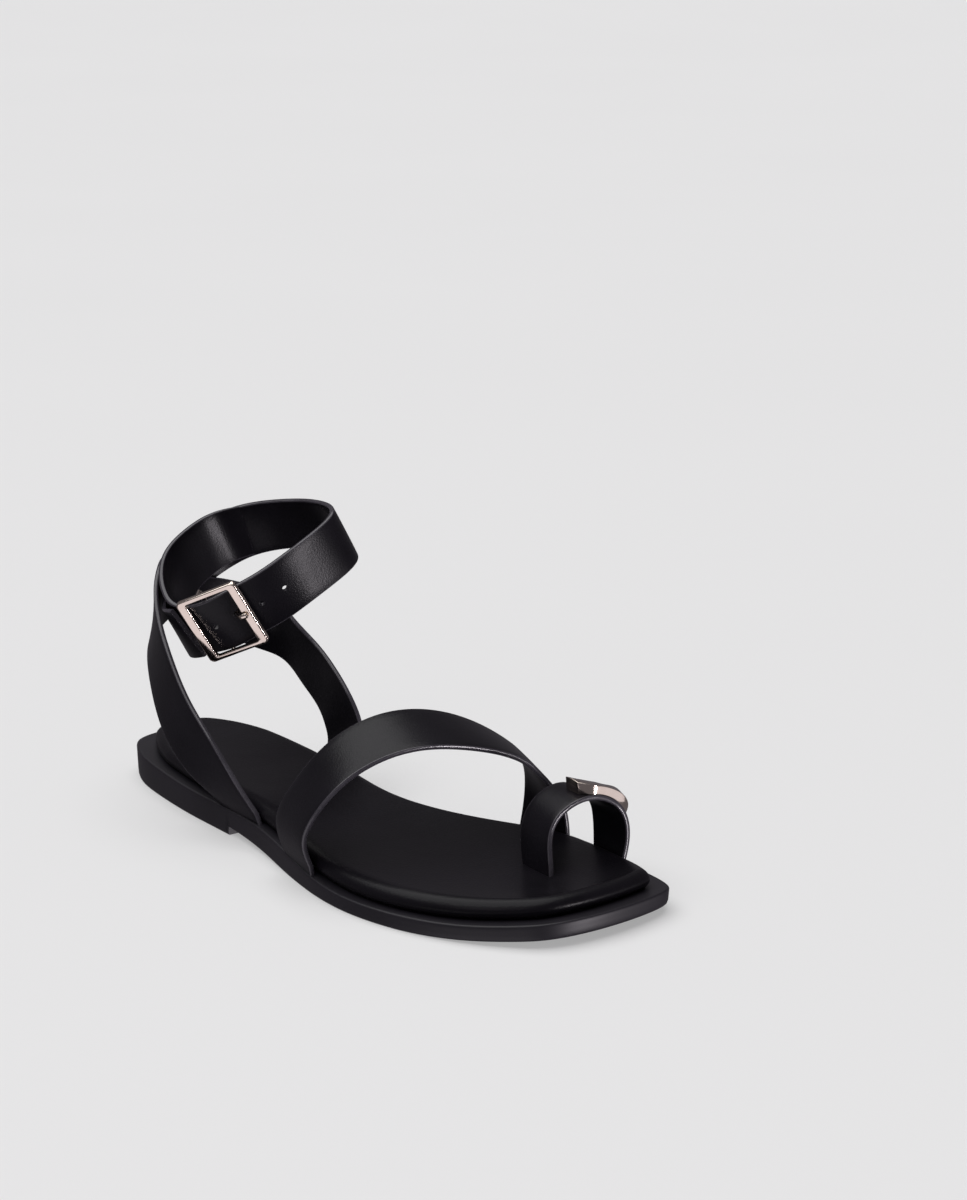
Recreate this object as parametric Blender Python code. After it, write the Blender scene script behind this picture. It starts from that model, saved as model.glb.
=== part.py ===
"""Right-foot toe loop sandal: rubber outsole, padded footbed, four leather straps, ornament, buckle.

Metres, +Z up. +X points to the toe, -Y is the lateral (outer) side, +Y the medial (inner) side.
The origin is on the floor under the middle of the sole. Tables are in millimetres.
"""
import math

import bpy
import bmesh
import numpy as np
from mathutils import Vector

MM = 0.001
GAP = 0.3                 # clearance between neighbouring pieces, mm

# Sole outline and profile. Rows run from the heel to the toe.
SOLE_COLUMNS = ("x", "lateral", "medial")
SOLE_ROWS = (
    (-129.0, 0.0, 0.0),
    (-125.0, 14.6, 15.2),
    (-118.0, 20.0, 21.2),
    (-105.0, 25.2, 26.2),
    (-88.0, 28.6, 28.0),
    (-60.0, 32.0, 26.6),
    (-30.0, 34.0, 22.8),
    (-10.0, 36.4, 19.6),
    (10.0, 40.6, 20.8),
    (30.0, 45.2, 29.4),
    (45.0, 47.5, 38.2),
    (60.0, 47.8, 45.2),
    (75.0, 45.8, 48.0),
    (90.0, 41.6, 47.0),
    (105.0, 34.6, 44.2),
    (118.0, 25.2, 39.4),
    (124.5, 18.0, 33.0),
    (127.7, 9.0, 21.0),
    (129.0, -5.0, 5.0),
)
PROFILE_COLUMNS = ("x", "floor", "ledge")      # underside height, ledge height
HEEL_ROWS = (
    (-129.0, 0.0, 12.1),
    (-90.0, 0.0, 11.0),
    (-60.0, 0.0, 10.3),
    (-34.0, 0.0, 10.1),
)
FRONT_ROWS = (
    (-34.0, 3.0, 10.1),
    (-15.0, 1.8, 9.9),
    (4.0, 0.5, 8.9),
    (16.0, 0.0, 8.0),
    (35.0, 0.0, 6.4),
    (55.0, 0.0, 5.5),
    (80.0, 0.0, 5.4),
    (105.0, 1.0, 6.4),
    (129.0, 3.5, 9.2),
)
HEEL_BREAST = -34.0
SOLE_STATIONS = 66
SOLE_DRAFT = 0.4          # the side wall leans in this much towards the floor
SOLE_CHAMFER = 0.4

# Footbed: ledge left outside it, its rounded side and its dished top.
LEDGE_COLUMNS = ("x", "lateral", "medial")
LEDGE_ROWS = (
    (-129.0, 9.0, 9.0),
    (-112.0, 7.6, 7.8),
    (-90.0, 4.8, 5.8),
    (-60.0, 4.2, 5.0),
    (-30.0, 3.6, 4.6),
    (30.0, 3.8, 4.8),
    (55.0, 3.9, 5.4),
    (76.0, 4.1, 7.2),
    (98.0, 5.2, 7.4),
    (129.0, 7.2, 7.2),
)
FOOTBED_HEIGHT = 6.4      # crease of the top above the ledge
FOOTBED_SIDE = ((0.6, 0.0), (-0.5, 1.2), (-0.9, 2.8), (-0.3, 4.4), (1.2, 5.8), (3.2, FOOTBED_HEIGHT))
FOOTBED_DISH = 1.5        # how far the middle of the top lies below its crease
DISH_STEPS = (0.25, 0.55, 0.85)

# Straps
STRAP_THICK = 1.8
ANKLE_WIDTH = 22.0
INSTEP_WIDTH = 23.0
LOOP_WIDTH = 17.0
STRAP_STEP = 4.5          # spacing of a strap's sections

# Ankle ring: straps lie on a slanted oval cylinder, in layers.
RING_X = -66.5
RING_ACROSS = 37.0
RING_LEAN = math.radians(30.0)
RING_COLUMNS = ("angle", "radius")
RING_ROWS = (
    (0, 30.3), (26, 37.3), (45, 44.2), (65, 39.3), (100, 31.2), (142, 30.8),
    (172, 29.6), (196, 29.2), (223, 29.0), (249, 30.4), (271, 31.8), (313, 26.4), (349, 28.1),
)

# Path rows of a strap: centre, then the direction across its width from the lower to the upper edge.
PATH_COLUMNS = ("x", "y", "z", "wx", "wy", "wz")
WRAP_LEG = (
    (-25.8, -32.8, 0.0, 1.00, -0.08, 0.03),
    (-31.3, -34.8, 16.7, 0.95, -0.10, 0.28),
    (-41.8, -38.8, 28.2, 0.74, 0.00, 0.67),
    (-54.0, -40.4, 39.6, 0.68, 0.03, 0.73),
    (-69.0, -38.0, 55.0, 0.76, -0.10, 0.64),
    (-80.9, -32.9, 67.5, 0.70, -0.27, 0.66),
    (-87.3, -26.6, 74.4, 0.46, -0.40, 0.79),
    (-91.4, -19.8, 78.7, 0.18, -0.47, 0.86),
)
RING_PATH_COLUMNS = ("angle", "height", "depth")
WRAP_RING = (
    (196, 77.2, 0.0), (184, 77.4, 0.0), (172, 77.6, 0.0), (157, 77.6, 0.0), (142, 77.7, 0.0),
    (120, 77.6, 0.0), (100, 77.6, 0.0), (82, 77.6, 0.0), (65, 77.7, 0.0), (45, 78.4, 0.0),
    (26, 78.7, 0.0), (8, 78.4, 0.0), (-11, 77.4, 0.0), (-30, 76.6, 0.0), (-47, 75.8, 0.0),
    (-57, 75.4, 0.9), (-66, 74.8, 2.7), (-76, 74.2, 4.5), (-86, 74.5, 5.1), (-98, 75.6, 5.4),
    (-110, 77.0, 5.5), (-122, 78.6, 5.5), (-137, 80.4, 5.5), (-151, 81.6, 5.6), (-164, 82.0, 5.6),
    (-176, 82.0, 5.4), (-188, 81.6, 4.5), (-200, 80.8, 3.0), (-214, 79.6, 2.2), (-228, 78.4, 2.1),
)
BUCKLE_LEG = (
    (-48.0, 24.0, 0.0, 0.99, -0.10, 0.02),
    (-49.4, 29.6, 20.6, 0.94, 0.03, 0.34),
    (-55.0, 30.8, 30.0, 0.77, -0.01, 0.64),
    (-63.9, 31.3, 38.1, 0.61, -0.08, 0.79),
    (-73.8, 30.7, 45.3, 0.59, -0.10, 0.80),
    (-82.7, 27.4, 53.4, 0.60, -0.14, 0.79),
)
BUCKLE_RING = (
    (163, 46.8, 3.2), (176, 54.4, 3.4), (190, 61.0, 3.4), (205, 66.2, 3.3), (222, 69.6, 2.6),
    (240, 70.4, 2.4), (258, 72.2, 2.7), (271, 73.9, 2.5), (280, 74.6, 2.1),
)
INSTEP_PATH = (
    (24.5, -42.6, 0.0, -0.97, 0.20, 0.00),
    (25.5, -46.5, 20.0, -0.97, 0.21, 0.03),
    (30.5, -44.0, 31.5, -0.96, 0.22, 0.08),
    (36.5, -34.5, 44.0, -0.95, 0.20, 0.19),
    (40.5, -23.5, 50.2, -0.95, 0.17, 0.27),
    (43.5, -11.0, 52.3, -0.94, 0.15, 0.32),
    (45.5, 0.5, 51.2, -0.93, 0.15, 0.33),
    (47.0, 11.5, 48.3, -0.94, 0.17, 0.29),
    (48.5, 21.5, 44.2, -0.95, 0.22, 0.20),
    (50.5, 30.5, 38.6, -0.94, 0.30, 0.10),
    (52.3, 36.8, 32.0, -0.93, 0.34, 0.04),
    (53.4, 40.2, 24.0, -0.97, 0.16, 0.00),
    (53.6, 40.7, 0.0, -0.99, -0.14, 0.00),
)
LOOP_PATH = (
    (88.4, 9.0, 0.0, -0.96, 0.14, -0.24),
    (85.4, 10.5, 18.0, -0.95, 0.09, -0.28),
    (84.0, 12.2, 23.8, -0.99, 0.08, -0.13),
    (83.9, 15.7, 29.1, -1.00, 0.09, -0.02),
    (84.3, 20.8, 32.3, -1.00, 0.06, 0.02),
    (84.6, 26.0, 33.5, -1.00, 0.06, 0.04),
    (85.0, 31.6, 32.8, -1.00, 0.05, 0.01),
    (85.2, 36.6, 30.3, -1.00, 0.02, -0.03),
    (85.4, 41.0, 26.6, -1.00, 0.02, -0.03),
    (85.5, 43.2, 21.0, -0.99, -0.03, 0.00),
    (85.4, 42.4, 0.0, -0.98, 0.16, 0.10),
)
STRAP_FOOT = 0.35         # a strap's foot stands this far above the ledge
LOOP_SLIT_REST = 0.3      # the toe loop's lateral leg stands this far above the footbed

# Toe ornament, along the toe loop. Place is the share of the loop's length.
ORNAMENT_COLUMNS = ("place", "rear", "front", "ridge", "lip", "face")   # two sides, then three heights
ORNAMENT_ROWS = (
    (0.445, -1.2, 5.4, 4.9, 4.6, 4.4),
    (0.490, -2.0, 7.8, 3.7, 3.0, 3.4),
    (0.540, -2.6, 8.2, 3.2, 2.4, 3.0),
    (0.600, -3.5, 8.0, 3.4, 2.2, 3.0),
    (0.650, -4.2, 7.6, 4.4, 2.6, 3.2),
    (0.700, -4.8, 6.9, 5.6, 3.0, 3.4),
    (0.740, -5.0, 5.6, 5.6, 2.8, 3.2),
    (0.780, -4.8, 3.4, 4.3, 2.2, 2.6),
    (0.830, -4.0, 0.8, 2.6, 1.4, 1.8),
    (0.870, -3.2, -1.2, 1.4, 1.0, 1.2),
)
ORNAMENT_SECTIONS = 20

# Buckle: its middle, then its directions along the strap and across it
BUCKLE_CENTRE = (-48.0, -24.6, 74.4)
BUCKLE_ALONG = (0.74, 0.54, 0.39)
BUCKLE_ACROSS = (-0.09, -0.51, 0.86)
BUCKLE_LIFT = 2.2         # middle of the frame's bars above the strap's middle surface
BUCKLE_LONG = 24.4        # along the strap
BUCKLE_WIDE = 27.0        # across the strap
SIDE_BAR = 3.6
END_BAR = 1.8
BUCKLE_THICK = 1.8
BUCKLE_CORNER = 0.8
PIVOT_PLACE = -3.5        # from the middle of the frame towards the tail
PIVOT_DROP = 2.0          # top of the pivot bar below the strap's middle surface
PIVOT_THICK = 1.4
PRONG_THICK = 1.5
PRONG_HOLE = 3.0

COLOURS = {
    "outsole": ((0.018, 0.016, 0.020, 1.0), 0.55, 0.0),
    "footbed": ((0.010, 0.010, 0.012, 1.0), 0.45, 0.0),
    "wrap_strap": ((0.008, 0.008, 0.010, 1.0), 0.42, 0.0),
    "buckle_strap": ((0.009, 0.008, 0.010, 1.0), 0.42, 0.0),
    "instep_strap": ((0.010, 0.009, 0.011, 1.0), 0.42, 0.0),
    "toe_loop": ((0.011, 0.010, 0.012, 1.0), 0.42, 0.0),
    "toe_ornament": ((0.82, 0.76, 0.73, 1.0), 0.12, 1.0),
    "buckle_frame": ((0.80, 0.74, 0.71, 1.0), 0.15, 1.0),
    "buckle_prong": ((0.78, 0.72, 0.69, 1.0), 0.18, 1.0),
}


class Spline:
    """Natural cubic through rows of numbers, or a closed one when period is given."""

    def __init__(self, places, values, period=None):
        self.period = period
        t = np.asarray(places, float)
        v = np.asarray(values, float)
        v = v.reshape(len(t), -1)
        if period is not None:
            laps = 2
            t = np.concatenate([t + period * k for k in range(-laps, laps + 1)])
            v = np.concatenate([v] * (2 * laps + 1))
        n = len(t)
        h = np.diff(t)
        left = np.zeros((n, n))
        right = np.zeros((n, v.shape[1]))
        left[0, 0] = 1.0
        left[-1, -1] = 1.0
        for i in range(1, n - 1):
            left[i, i - 1] = h[i - 1]
            left[i, i] = 2.0 * (h[i - 1] + h[i])
            left[i, i + 1] = h[i]
            right[i] = 6.0 * ((v[i + 1] - v[i]) / h[i] - (v[i] - v[i - 1]) / h[i - 1])
        self.t = t
        self.v = v
        self.h = h
        self.bend = np.linalg.solve(left, right)

    def __call__(self, place):
        i = int(np.clip(np.searchsorted(self.t, place) - 1, 0, len(self.t) - 2))
        h = self.h[i]
        a = (self.t[i + 1] - place) / h
        b = (place - self.t[i]) / h
        curve = (a ** 3 - a) * self.bend[i] + (b ** 3 - b) * self.bend[i + 1]
        return a * self.v[i] + b * self.v[i + 1] + curve * h * h / 6.0


def length_share(x):
    """Angle that runs 0 to pi from heel to toe, so that the round ends get closer stations."""
    half = 129.0
    return math.acos(max(-1.0, min(1.0, -x / half)))


def straight_table(rows, x):
    """Values of a table at x, on straight lines between its rows."""
    places = [row[0] for row in rows]
    return [float(np.interp(x, places, [row[c] for row in rows])) for c in range(1, len(rows[0]))]


def smooth_table(rows):
    return Spline([row[0] for row in rows], [row[1:] for row in rows])


OUTLINE = Spline([length_share(row[0]) for row in SOLE_ROWS], [row[1:] for row in SOLE_ROWS])
HEEL_PROFILE = smooth_table(HEEL_ROWS)
FRONT_PROFILE = smooth_table(FRONT_ROWS)
RING_RADIUS = Spline([row[0] for row in RING_ROWS], [row[1] for row in RING_ROWS], period=360.0)


def ledge_height(x):
    return float((HEEL_PROFILE if x < HEEL_BREAST else FRONT_PROFILE)(x)[1])


def floor_height(x, behind_breast):
    if behind_breast:
        return 0.0
    return max(0.0, float(FRONT_PROFILE(max(x, HEEL_BREAST))[0]))


def outline_stations():
    """Pairs of lateral and medial outline points from heel tip to toe tip."""
    angles = [math.pi * k / SOLE_STATIONS for k in range(SOLE_STATIONS + 1)]
    breast = length_share(HEEL_BREAST)
    step = 0.0009
    angles = [a for a in angles if abs(a - breast) > 0.02] + [breast - step, breast + step]
    pairs = []
    for angle in sorted(angles):
        lateral, medial = OUTLINE(angle)
        x = -129.0 * math.cos(angle)
        pairs.append((x, -float(lateral), float(medial), angle < breast))
    return pairs


STATIONS = outline_stations()


def outline_loop():
    """Closed outline as 2D points: heel tip, lateral side, toe tip, medial side."""
    heel = STATIONS[0]
    toe = STATIONS[-1]
    middle = STATIONS[1:-1]
    points = [(heel[0], (heel[1] + heel[2]) / 2)]
    points += [(s[0], s[1]) for s in middle]
    points += [(toe[0], (toe[1] + toe[2]) / 2)]
    points += [(s[0], s[2]) for s in reversed(middle)]
    behind = [heel[3]] + [s[3] for s in middle] + [toe[3]] + [s[3] for s in reversed(middle)]
    return np.array(points), behind


LOOP_POINTS, LOOP_BEHIND = outline_loop()


def loop_normals(points):
    """Outward normals of the outline, from neighbours far enough apart to be steady."""
    ahead = np.roll(points, -1, axis=0)
    behind = np.roll(points, 1, axis=0)
    along = ahead - behind
    for i, step in enumerate(along):
        if np.hypot(*step) < 3.0:
            along[i] = points[(i + 2) % len(points)] - points[i - 2]
    normals = np.stack([along[:, 1], -along[:, 0]], axis=1)
    normals /= np.linalg.norm(normals, axis=1)[:, None]
    outward = np.sign(((points - points.mean(axis=0)) * normals).sum(axis=1).mean())
    return normals * outward


LOOP_NORMALS = loop_normals(LOOP_POINTS)


def ledge_width(point):
    lateral, medial = straight_table(LEDGE_ROWS, point[0])
    return lateral if point[1] < 0 else medial


def inset_loop(distances):
    return LOOP_POINTS - LOOP_NORMALS * np.asarray(distances)[:, None]


def new_object(name, mesh_builder):
    mesh = bpy.data.meshes.new(name)
    build = bmesh.new()
    mesh_builder(build)
    bmesh.ops.remove_doubles(build, verts=build.verts, dist=1e-7)
    bmesh.ops.recalc_face_normals(build, faces=build.faces)
    build.to_mesh(mesh)
    build.free()
    mesh.shade_smooth()
    mesh.set_sharp_from_angle(angle=math.radians(35))
    thing = bpy.data.objects.new(name, mesh)
    bpy.context.collection.objects.link(thing)
    colour, roughness, metallic = COLOURS[name]
    material = bpy.data.materials.new(name + "_finish")
    material.use_nodes = True
    shader = material.node_tree.nodes["Principled BSDF"]
    shader.inputs["Base Color"].default_value = colour
    shader.inputs["Roughness"].default_value = roughness
    shader.inputs["Metallic"].default_value = metallic
    mesh.materials.append(material)
    return thing


def add_loops(build, loops):
    """Closed loops of mm points as joined rings of quads; returns the rings of vertices."""
    rings = [[build.verts.new(Vector(p) * MM) for p in loop] for loop in loops]
    for lower, upper in zip(rings, rings[1:]):
        count = len(lower)
        for i in range(count):
            j = (i + 1) % count
            build.faces.new((lower[i], lower[j], upper[j], upper[i]))
    return rings


def cap_across(build, ring):
    """Fill an outline ring with strips that join each lateral point to its medial one."""
    count = len(ring)
    half = count // 2
    build.faces.new((ring[0], ring[1], ring[-1]))
    for i in range(1, half - 1):
        build.faces.new((ring[i], ring[i + 1], ring[-i - 1], ring[-i]))
    build.faces.new((ring[half - 1], ring[half], ring[half + 1]))


def make_outsole():
    def floor_at(i, x):
        return floor_height(x, LOOP_BEHIND[i])

    def level(inset, height):
        flat = inset_loop([inset] * len(LOOP_POINTS))
        return [(p[0], p[1], height(i, p[0])) for i, p in enumerate(flat)]

    def build_mesh(build):
        loops = [
            level(SOLE_DRAFT + SOLE_CHAMFER, floor_at),
            level(SOLE_DRAFT, lambda i, x: floor_at(i, x) + SOLE_CHAMFER),
            level(0.0, lambda i, x: ledge_height(x) - SOLE_CHAMFER),
            level(SOLE_CHAMFER, lambda i, x: ledge_height(x)),
            level(3.0, lambda i, x: ledge_height(x)),
        ]
        rings = add_loops(build, loops)
        cap_across(build, rings[0])
        cap_across(build, rings[-1])

    return new_object("outsole", build_mesh)


def footbed_loop(inset, rise):
    widths = [ledge_width(p) + inset for p in LOOP_POINTS]
    return [(p[0], p[1], ledge_height(p[0]) + GAP + rise) for p in inset_loop(widths)]


def footbed_top_loops():
    """Loops from the crease to the middle line, dished."""
    crease = np.array(footbed_loop(*FOOTBED_SIDE[-1]))
    count = len(crease)
    loops = []
    for share in DISH_STEPS:
        loop = []
        for i, point in enumerate(crease):
            mate = crease[(count - i) % count]
            middle = (point + mate) / 2
            low = FOOTBED_DISH * math.sin(share * math.pi / 2)
            fade = min(1.0, float(np.linalg.norm(point - mate)) / 40.0)
            spot = point * (1 - share) + middle * share
            loop.append((spot[0], spot[1], spot[2] - low * fade))
        loops.append(loop)
    return loops


def make_footbed():
    def build_mesh(build):
        loops = [footbed_loop(3.0, 0.0)] + [footbed_loop(*row) for row in FOOTBED_SIDE]
        loops += footbed_top_loops()
        rings = add_loops(build, loops)
        cap_across(build, rings[0])
        cap_across(build, rings[-1])

    return new_object("footbed", build_mesh)


def ring_point(angle, height, depth):
    """A point and outward normal on the slanted ankle ring."""
    across = np.array([0.0, math.cos(RING_LEAN), math.sin(RING_LEAN)])
    axis = np.array([0.0, -math.sin(RING_LEAN), math.cos(RING_LEAN)])
    forward = np.array([1.0, 0.0, 0.0])

    def flat(turn):
        radius = float(RING_RADIUS(turn)[0])
        a = math.radians(turn)
        return np.array([radius * math.cos(a), radius * math.sin(a)])

    here = flat(angle)
    along = flat(angle + 1.0) - flat(angle - 1.0)
    normal = np.array([along[1], -along[0]])
    normal /= np.linalg.norm(normal)
    spot = here - normal * depth
    place = forward * (RING_X + spot[0]) + across * (RING_ACROSS + spot[1]) + axis * height
    outward = forward * normal[0] + across * normal[1]
    return place, outward, axis


def ring_rows(rows):
    """Ring rows as path rows: centre, and the direction across the strap, square to the path."""
    places = [ring_point(*row)[0] for row in rows]
    result = []
    for i, row in enumerate(rows):
        outward = ring_point(*row)[1]
        ahead = places[min(i + 1, len(rows) - 1)] - places[max(i - 1, 0)]
        across = np.cross(ahead, outward)
        across /= np.linalg.norm(across)
        if across[2] < 0:
            across = -across
        result.append(tuple(places[i]) + tuple(across))
    return tuple(result)


def path_stations(rows, step=STRAP_STEP):
    """Evenly spaced rows along the smooth curve through a path's rows."""
    rows = np.asarray(rows, float)
    chord = np.concatenate([[0.0], np.cumsum(np.linalg.norm(np.diff(rows[:, :3], axis=0), axis=1))])
    curve = Spline(chord, rows)
    count = int(round(chord[-1] / step))
    return [curve(chord[-1] * k / count) for k in range(count + 1)]


def band_frames(stations, width):
    """Centre, width vector and outward normal at each station of a strap."""
    spots = np.array([s[:3] for s in stations])
    across = np.array([s[3:6] for s in stations])
    across /= np.linalg.norm(across, axis=1)[:, None]
    ahead = np.gradient(spots, axis=0)
    ahead /= np.linalg.norm(ahead, axis=1)[:, None]
    outward = np.cross(across, ahead)
    skew = np.linalg.norm(outward, axis=1)
    outward /= skew[:, None]
    reach = width / np.maximum(skew, 0.6)
    return spots, across * reach[:, None], outward


BAND_SECTION = (        # share of the width, share of the thickness
    (-0.5, -0.32), (-0.478, -0.5), (0.478, -0.5), (0.5, -0.32),
    (0.5, 0.32), (0.478, 0.5), (-0.478, 0.5), (-0.5, 0.32),
)


def band_loops(rows, width, thick=STRAP_THICK, foot=None):
    """Section loops of a strap; foot(point) raises the ends to stand on what carries them."""
    spots, across, outward = band_frames(path_stations(rows), width)
    loops = []
    for spot, wide, out in zip(spots, across, outward):
        loops.append([spot + wide * a + out * (thick * b) for a, b in BAND_SECTION])
    if foot is not None:
        for loop in (loops[0], loops[-1]):
            for k, point in enumerate(loop):
                loop[k] = foot(point)
    return loops


def tube(loops):
    def build_mesh(build):
        rings = add_loops(build, loops)
        build.faces.new(rings[0])
        build.faces.new(rings[-1])

    return build_mesh


def start_foot(rows, landing):
    """Path rows whose first or last height is put on the surface that landing gives."""
    rows = [list(row) for row in rows]
    for row in (rows[0], rows[-1]):
        if row[2] == 0.0:
            row[2] = landing(row[0], row[1])
    return tuple(tuple(row) for row in rows)


def on_ledge(x, y):
    return ledge_height(x) + STRAP_FOOT + 0.6


def ledge_foot(point):
    """End points that lie low are set exactly on the ledge."""
    if point[2] > 20.0:
        return point
    return np.array([point[0], point[1], ledge_height(point[0]) + STRAP_FOOT])


def footbed_top(x, y):
    """Height of the footbed's top near its middle."""
    return ledge_height(x) + GAP + FOOTBED_HEIGHT - FOOTBED_DISH


def make_wrap_strap():
    rows = start_foot(WRAP_LEG, on_ledge) + ring_rows(WRAP_RING)
    return new_object("wrap_strap", tube(band_loops(rows, ANKLE_WIDTH, foot=ledge_foot)))


def make_buckle_strap():
    rows = start_foot(BUCKLE_LEG, on_ledge) + ring_rows(BUCKLE_RING)
    return new_object("buckle_strap", tube(band_loops(rows, ANKLE_WIDTH, foot=ledge_foot)))


def make_instep_strap():
    rows = start_foot(INSTEP_PATH, on_ledge)
    return new_object("instep_strap", tube(band_loops(rows, INSTEP_WIDTH, foot=ledge_foot)))


def loop_rows():
    rows = [list(row) for row in LOOP_PATH]
    rows[0][2] = footbed_top(rows[0][0], rows[0][1]) + LOOP_SLIT_REST
    rows[-1][2] = on_ledge(rows[-1][0], rows[-1][1])
    return tuple(tuple(row) for row in rows)


def loop_foot(point):
    if point[1] > 25.0:
        return ledge_foot(point)
    return np.array([point[0], point[1], footbed_top(point[0], point[1]) + LOOP_SLIT_REST])


def make_toe_loop():
    return new_object("toe_loop", tube(band_loops(loop_rows(), LOOP_WIDTH, foot=loop_foot)))


def make_ornament():
    """A saddle over the toe loop: two facets meet in a ridge, narrow on top, a point on the medial side."""
    stations = path_stations(loop_rows(), 1.0)
    spots, across, outward = band_frames(stations, 1.0)
    shape = smooth_table(ORNAMENT_ROWS)
    first = ORNAMENT_ROWS[0][0]
    last = ORNAMENT_ROWS[-1][0]
    loops = []
    for k in range(ORNAMENT_SECTIONS + 1):
        place = first + (last - first) * k / ORNAMENT_SECTIONS
        rear, front, ridge, lip, face = shape(place)
        i, share = divmod(place * (len(spots) - 1), 1.0)
        spot, rearward, out = ((1 - share) * rows[int(i)] + share * rows[int(i) + 1]
                               for rows in (spots, across, -outward))
        base = STRAP_THICK / 2 + GAP
        front_side = -rearward * front
        rear_side = -rearward * rear
        loops.append([
            spot + rear_side + out * base,
            spot + front_side + out * base,
            spot + front_side + out * (base + face),
            spot + (front_side + rear_side) * 0.5 + out * (base + ridge),
            spot + rear_side + out * (base + lip),
        ])
    return new_object("toe_ornament", tube(loops))


def buckle_axes():
    """Point under the buckle's middle on the strap, with directions along, across and outwards."""
    along = np.array(BUCKLE_ALONG) / np.linalg.norm(BUCKLE_ALONG)
    outward = np.cross(along, BUCKLE_ACROSS)
    outward /= np.linalg.norm(outward)
    across = np.cross(outward, along)
    return np.array(BUCKLE_CENTRE) - outward * BUCKLE_LIFT, along, across, outward


def rounded_rectangle(long, wide, corner, steps=3):
    points = []
    for sx, sy, start in ((1, 1, 0), (-1, 1, 90), (-1, -1, 180), (1, -1, 270)):
        for k in range(steps + 1):
            a = math.radians(start + 90.0 * k / steps)
            x = sx * (long / 2 - corner) + corner * math.cos(a)
            y = sy * (wide / 2 - corner) + corner * math.sin(a)
            points.append((x, y))
    return points


def make_buckle_frame():
    """Rectangular frame over the strap; its end bars carry a pivot bar under the strap."""
    place, along, across, outward = buckle_axes()

    def world(x, y, z):
        return place + along * x + across * y + outward * z

    def build_mesh(build):
        outer = rounded_rectangle(BUCKLE_LONG, BUCKLE_WIDE, BUCKLE_CORNER + 1.0)
        inner = rounded_rectangle(BUCKLE_LONG - 2 * SIDE_BAR, BUCKLE_WIDE - 2 * END_BAR, BUCKLE_CORNER)
        low = BUCKLE_LIFT - BUCKLE_THICK / 2
        high = BUCKLE_LIFT + BUCKLE_THICK / 2
        bevel = 0.5
        loops = [
            [world(x, y, low) for x, y in inner],
            [world(x, y, low) for x, y in outer],
            [world(x, y, high - bevel) for x, y in outer],
            [world(x * (1 - 2 * bevel / BUCKLE_LONG), y * (1 - 2 * bevel / BUCKLE_WIDE), high)
             for x, y in outer],
            [world(x, y, high) for x, y in inner],
        ]
        rings = add_loops(build, loops)
        count = len(rings[0])
        for i in range(count):
            j = (i + 1) % count
            build.faces.new((rings[-1][i], rings[-1][j], rings[0][j], rings[0][i]))

    frame = new_object("buckle_frame", build_mesh)
    bar = pivot_bar(world)
    union = frame.modifiers.new("pivot", "BOOLEAN")
    union.operation = "UNION"
    union.solver = "EXACT"
    union.object = bar
    return frame


def guide(name, mesh_builder):
    """A helper solid that only shapes another object."""
    mesh = bpy.data.meshes.new(name)
    build = bmesh.new()
    mesh_builder(build)
    bmesh.ops.recalc_face_normals(build, faces=build.faces)
    build.to_mesh(mesh)
    build.free()
    thing = bpy.data.objects.new(name, mesh)
    bpy.context.collection.objects.link(thing)
    thing.hide_render = True
    thing.display_type = "WIRE"
    return thing


def pivot_bar(world):
    """The pivot bar with an upright at each end, as one helper solid in a U shape."""
    half = BUCKLE_WIDE / 2 - 0.6
    drop = -(PIVOT_DROP + PIVOT_THICK)
    top = BUCKLE_LIFT
    x0 = PIVOT_PLACE - PIVOT_THICK / 2
    x1 = PIVOT_PLACE + PIVOT_THICK / 2
    post = 0.8

    def build_mesh(build):
        outline = [
            (-half - post / 2, top), (-half - post / 2, drop), (half + post / 2, drop), (half + post / 2, top),
            (half - post / 2, top), (half - post / 2, drop + PIVOT_THICK),
            (-half + post / 2, drop + PIVOT_THICK), (-half + post / 2, top),
        ]
        near = [build.verts.new(Vector(world(x0, y, z)) * MM) for y, z in outline]
        far = [build.verts.new(Vector(world(x1, y, z)) * MM) for y, z in outline]
        count = len(outline)
        for i in range(count):
            j = (i + 1) % count
            build.faces.new((near[i], near[j], far[j], far[i]))
        build.faces.new(near)
        build.faces.new(far)

    return guide("pivot_guide", build_mesh)


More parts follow.
